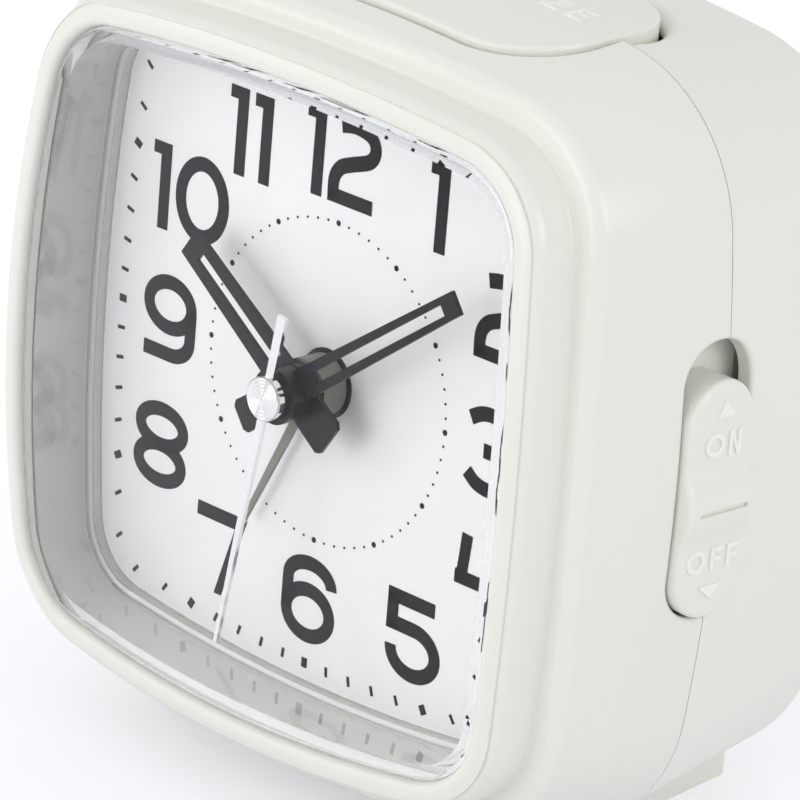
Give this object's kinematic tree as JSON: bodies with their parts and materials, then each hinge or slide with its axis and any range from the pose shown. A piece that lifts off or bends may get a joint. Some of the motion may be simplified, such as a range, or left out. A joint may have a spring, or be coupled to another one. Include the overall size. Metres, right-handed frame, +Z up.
{
  "type": "alarm clock",
  "caption": "Square desk alarm clock with rounded corners, a deep clear window, slotted hands, a snooze bar on top and a sliding alarm switch on its side.",
  "frame": {"origin": "on the floor, under the middle of the bounding box", "axes": "+Z up, +Y from the dial towards the back, +X to the right seen from the front; the case leans back 5.8 degrees"},
  "size_m": [0.0928, 0.0582, 0.0904],
  "materials": {
    "case": "warm white glossy moulded ABS",
    "lens": "clear moulded polystyrene with polished faces",
    "dial": "silver, fine sandblasted and printed",
    "hand_black": "satin black lacquer",
    "hand_chrome": "polished, with fine turned rings on the cap",
    "hand_olive": "matt olive grey lacquer",
    "movement": "black moulded plastic",
    "gear": "natural acetal",
    "brass": "turned brass",
    "steel": "bright zinc-plated steel",
    "copper": "enamelled copper wire",
    "board": "green printed circuit board",
    "chip": "black resin drop",
    "carrier": "white moulded plastic",
    "knob": "light grey moulded plastic",
    "cell": "plain printed sleeve",
    "buzzer": "black plastic can"
  },
  "bodies": {
    "case": {"front_housing": "case", "rear_housing": "case", "lens_cup": "lens", "front_feet": "case", "rear_feet": "case", "dial_plate": "dial", "dial_carrier": "carrier", "case_screws": "steel", "carrier_screws": "steel", "movement_front": "movement", "movement_back": "movement", "stator": "steel", "motor_coil": "copper", "circuit_board": "board", "quartz_crystal": "steel", "clock_chip": "chip", "battery_cell": "cell", "battery_contact_plus": "steel", "battery_contact_minus": "steel", "buzzer": "buzzer", "snooze_spring": "steel", "snooze_contact": "chip", "switch_bracket": "carrier", "switch_contact": "brass"},
    "minute": {"cannon_pinion": "brass", "minute_hand": "hand_black"},
    "hour": {"hour_wheel": "gear", "hour_hand": "hand_black"},
    "motion": {"motion_wheel": "gear"},
    "time_set": {"time_set_shaft": "gear", "time_set_knob": "knob"},
    "second": {"second_wheel": "gear", "second_hand": "hand_chrome"},
    "third": {"third_wheel": "gear"},
    "centre": {"centre_wheel": "gear"},
    "intermediate": {"intermediate_wheel": "gear"},
    "motor_rotor": {"rotor": "steel"},
    "alarm": {"alarm_wheel": "gear", "alarm_hand": "hand_olive"},
    "alarm_set": {"alarm_set_shaft": "gear", "alarm_set_knob": "knob"},
    "snooze": {"snooze_button": "case"},
    "slider": {"alarm_switch": "case"},
    "door": {"battery_door": "case"}
  },
  "joints": [
    {"name": "time_set_turn", "type": "hinge", "parent": "case", "child": "time_set", "pos_m": [0.01333, -0.01272, 0.05175], "axis": [0, 0.9949, -0.1011], "continuous": true},
    {"name": "minute_turn", "type": "hinge", "parent": "case", "child": "minute", "pos_m": [-0.00077, -0.01326, 0.04636], "axis": [0, 0.9949, -0.1011], "continuous": true},
    {"name": "hour_turn", "type": "hinge", "parent": "case", "child": "hour", "pos_m": [-0.00077, -0.01326, 0.04636], "axis": [0, 0.9949, -0.1011], "continuous": true},
    {"name": "motion_turn", "type": "hinge", "parent": "case", "child": "motion", "pos_m": [0.00962, -0.01387, 0.04039], "axis": [0, 0.9949, -0.1011], "continuous": true},
    {"name": "second_turn", "type": "hinge", "parent": "case", "child": "second", "pos_m": [-0.00077, -0.01326, 0.04636], "axis": [0, 0.9949, -0.1011], "continuous": true},
    {"name": "third_turn", "type": "hinge", "parent": "case", "child": "third", "pos_m": [-0.00449, -0.01429, 0.03622], "axis": [0, 0.9949, -0.1011], "continuous": true},
    {"name": "centre_turn", "type": "hinge", "parent": "case", "child": "centre", "pos_m": [-0.00077, -0.01326, 0.04636], "axis": [0, 0.9949, -0.1011], "continuous": true},
    {"name": "intermediate_turn", "type": "hinge", "parent": "case", "child": "intermediate", "pos_m": [-0.00449, -0.01223, 0.0565], "axis": [0, 0.9949, -0.1011], "continuous": true},
    {"name": "rotor_turn", "type": "hinge", "parent": "case", "child": "motor_rotor", "pos_m": [0.00082, -0.0117, 0.06178], "axis": [0, 0.9949, -0.1011], "continuous": true},
    {"name": "alarm_set_turn", "type": "hinge", "parent": "case", "child": "alarm_set", "pos_m": [-0.01477, -0.01272, 0.05173], "axis": [0, 0.9949, -0.1011], "continuous": true},
    {"name": "alarm_turn", "type": "hinge", "parent": "case", "child": "alarm", "pos_m": [-0.00077, -0.01326, 0.04636], "axis": [0, 0.9949, -0.1011], "continuous": true},
    {"name": "snooze_press", "type": "slide", "parent": "case", "child": "snooze", "axis": [0, -0.1011, -0.9949], "range_m": [0, 0.0015], "stiffness_N_per_m": 400, "springref_m": -0.001, "deforming": ["snooze_spring"]},
    {"name": "alarm_slide", "type": "slide", "parent": "case", "child": "slider", "axis": [0, 0.1011, 0.9949], "range_m": [0, 0.0038]},
    {"name": "door_lift", "type": "slide", "parent": "case", "child": "door", "axis": [0, 0.9949, -0.1011], "range_m": [0, 0.03]}
  ],
  "couplings": [
    {"joint": "minute_turn", "follows": "time_set_turn", "ratio": 1},
    {"joint": "hour_turn", "follows": "time_set_turn", "ratio": 0.083333},
    {"joint": "motion_turn", "follows": "time_set_turn", "ratio": -0.33333},
    {"joint": "third_turn", "follows": "second_turn", "ratio": -0.16667},
    {"joint": "centre_turn", "follows": "second_turn", "ratio": 0.016667},
    {"joint": "intermediate_turn", "follows": "second_turn", "ratio": -6},
    {"joint": "rotor_turn", "follows": "second_turn", "ratio": 30},
    {"joint": "alarm_turn", "follows": "alarm_set_turn", "ratio": -0.875}
  ]
}
